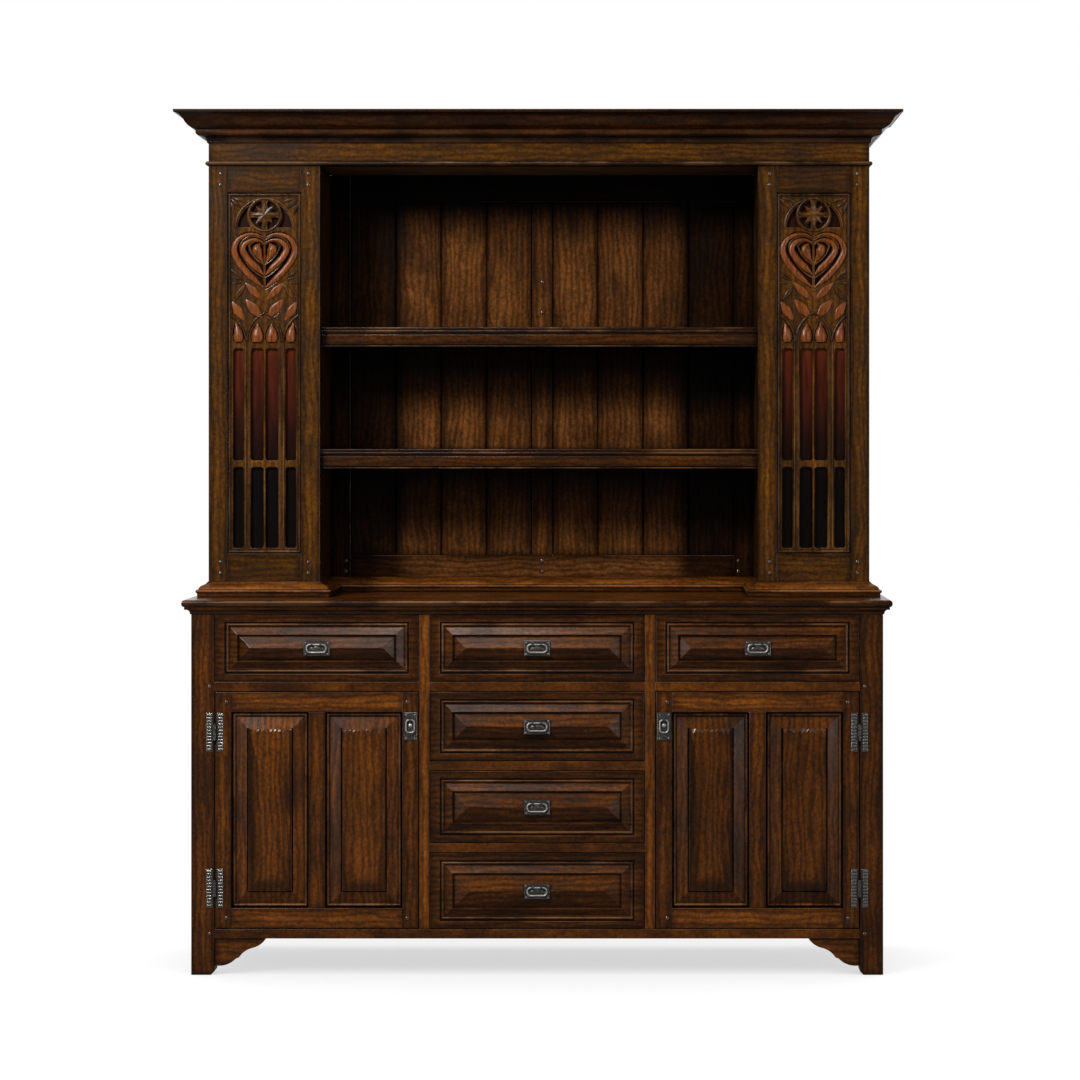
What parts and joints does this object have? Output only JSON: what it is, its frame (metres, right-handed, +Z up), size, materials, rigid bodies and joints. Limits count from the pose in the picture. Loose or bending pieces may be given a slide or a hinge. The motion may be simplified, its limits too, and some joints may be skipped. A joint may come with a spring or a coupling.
{
  "type": "hutch",
  "caption": "Dark oak hutch: a cupboard base with sliding drawers and panelled doors under an open shelved top with pierced tracery pillars and a moulded cornice.",
  "frame": {"origin": "middle of the footprint, on the floor", "axes": "+Z up, front towards -Y, +X to the right of a viewer who faces the front"},
  "size_m": [1.845, 0.507, 2.174],
  "materials": {
    "dark_oak": "waxed dark stain",
    "golden_oak": "waxed brown stain",
    "plain_oak": "thin brown stain",
    "peg_oak": "polished",
    "stained_infill": "red-brown stain",
    "forged_iron": "hammered, waxed",
    "catch_steel": "dull"
  },
  "bodies": {
    "carcass": {"back_boards": "golden_oak", "back_frame": "golden_oak", "back_legs": "dark_oak", "base_back": "plain_oak", "base_floor": "plain_oak", "base_sides": "dark_oak", "cornice": "dark_oak", "counter_moulding": "dark_oak", "counter_top": "dark_oak", "cupboard_shelves": "plain_oak", "door_catches": "catch_steel", "drawer_runners": "plain_oak", "face_frame": "dark_oak", "foot_brackets": "dark_oak", "frieze": "golden_oak", "front_legs": "dark_oak", "hinge_frame_leaves": "forged_iron", "hutch_base_mouldings": "dark_oak", "hutch_shelves": "dark_oak", "hutch_top": "plain_oak", "joint_pegs": "peg_oak", "partitions": "plain_oak", "pillar_frames": "golden_oak", "pillar_walls": "golden_oak", "tracery_backings": "stained_infill", "tracery_panels": "dark_oak"},
    "top_left_drawer": {"top_left_drawer_front": "dark_oak", "top_left_drawer_box": "plain_oak", "top_left_pull_plate": "forged_iron"},
    "top_left_bail": {"top_left_pull_bail": "forged_iron"},
    "top_centre_drawer": {"top_centre_drawer_front": "dark_oak", "top_centre_drawer_box": "plain_oak", "top_centre_pull_plate": "forged_iron"},
    "top_centre_bail": {"top_centre_pull_bail": "forged_iron"},
    "top_right_drawer": {"top_right_drawer_front": "dark_oak", "top_right_drawer_box": "plain_oak", "top_right_pull_plate": "forged_iron"},
    "top_right_bail": {"top_right_pull_bail": "forged_iron"},
    "centre_upper_drawer": {"centre_upper_drawer_front": "dark_oak", "centre_upper_drawer_box": "plain_oak", "centre_upper_pull_plate": "forged_iron"},
    "centre_upper_bail": {"centre_upper_pull_bail": "forged_iron"},
    "centre_middle_drawer": {"centre_middle_drawer_front": "dark_oak", "centre_middle_drawer_box": "plain_oak", "centre_middle_pull_plate": "forged_iron"},
    "centre_middle_bail": {"centre_middle_pull_bail": "forged_iron"},
    "centre_lower_drawer": {"centre_lower_drawer_front": "dark_oak", "centre_lower_drawer_box": "plain_oak", "centre_lower_pull_plate": "forged_iron"},
    "centre_lower_bail": {"centre_lower_pull_bail": "forged_iron"},
    "left_door": {"left_door_frame": "dark_oak", "left_door_panels": "dark_oak", "left_door_hinge_leaves": "forged_iron", "left_door_ring_plate": "forged_iron"},
    "left_ring": {"left_door_ring": "forged_iron"},
    "right_door": {"right_door_frame": "dark_oak", "right_door_panels": "dark_oak", "right_door_hinge_leaves": "forged_iron", "right_door_ring_plate": "forged_iron"},
    "right_ring": {"right_door_ring": "forged_iron"}
  },
  "joints": [
    {"name": "top_left_slide", "type": "slide", "parent": "carcass", "child": "top_left_drawer", "axis": [0, -1, 0], "range_m": [0, 0.31]},
    {"name": "top_left_bail_swing", "type": "hinge", "parent": "top_left_drawer", "child": "top_left_bail", "pos_m": [-0.551, -0.2474, 0.827], "axis": [-1, 0, 0], "range_deg": [0, 88]},
    {"name": "top_centre_slide", "type": "slide", "parent": "carcass", "child": "top_centre_drawer", "axis": [0, -1, 0], "range_m": [0, 0.31]},
    {"name": "top_centre_bail_swing", "type": "hinge", "parent": "top_centre_drawer", "child": "top_centre_bail", "pos_m": [0, -0.2474, 0.827], "axis": [-1, 0, 0], "range_deg": [0, 88]},
    {"name": "top_right_slide", "type": "slide", "parent": "carcass", "child": "top_right_drawer", "axis": [0, -1, 0], "range_m": [0, 0.31]},
    {"name": "top_right_bail_swing", "type": "hinge", "parent": "top_right_drawer", "child": "top_right_bail", "pos_m": [0.551, -0.2474, 0.827], "axis": [-1, 0, 0], "range_deg": [0, 88]},
    {"name": "centre_upper_slide", "type": "slide", "parent": "carcass", "child": "centre_upper_drawer", "axis": [0, -1, 0], "range_m": [0, 0.31]},
    {"name": "centre_upper_bail_swing", "type": "hinge", "parent": "centre_upper_drawer", "child": "centre_upper_bail", "pos_m": [0, -0.2474, 0.631], "axis": [-1, 0, 0], "range_deg": [0, 88]},
    {"name": "centre_middle_slide", "type": "slide", "parent": "carcass", "child": "centre_middle_drawer", "axis": [0, -1, 0], "range_m": [0, 0.31]},
    {"name": "centre_middle_bail_swing", "type": "hinge", "parent": "centre_middle_drawer", "child": "centre_middle_bail", "pos_m": [0, -0.2474, 0.4295], "axis": [-1, 0, 0], "range_deg": [0, 88]},
    {"name": "centre_lower_slide", "type": "slide", "parent": "carcass", "child": "centre_lower_drawer", "axis": [0, -1, 0], "range_m": [0, 0.31]},
    {"name": "centre_lower_bail_swing", "type": "hinge", "parent": "centre_lower_drawer", "child": "centre_lower_bail", "pos_m": [0, -0.2474, 0.22], "axis": [-1, 0, 0], "range_deg": [0, 88]},
    {"name": "left_door_hinge", "type": "hinge", "parent": "carcass", "child": "left_door", "pos_m": [-0.806, -0.2373, 0.412], "axis": [0, 0, -1], "range_deg": [0, 110]},
    {"name": "left_ring_swing", "type": "hinge", "parent": "left_door", "child": "left_ring", "pos_m": [-0.317, -0.2394, 0.638], "axis": [-1, 0, 0], "range_deg": [0, 88]},
    {"name": "right_door_hinge", "type": "hinge", "parent": "carcass", "child": "right_door", "pos_m": [0.806, -0.2373, 0.412], "axis": [0, 0, 1], "range_deg": [0, 110]},
    {"name": "right_ring_swing", "type": "hinge", "parent": "right_door", "child": "right_ring", "pos_m": [0.317, -0.2394, 0.638], "axis": [-1, 0, 0], "range_deg": [0, 88]}
  ]
}
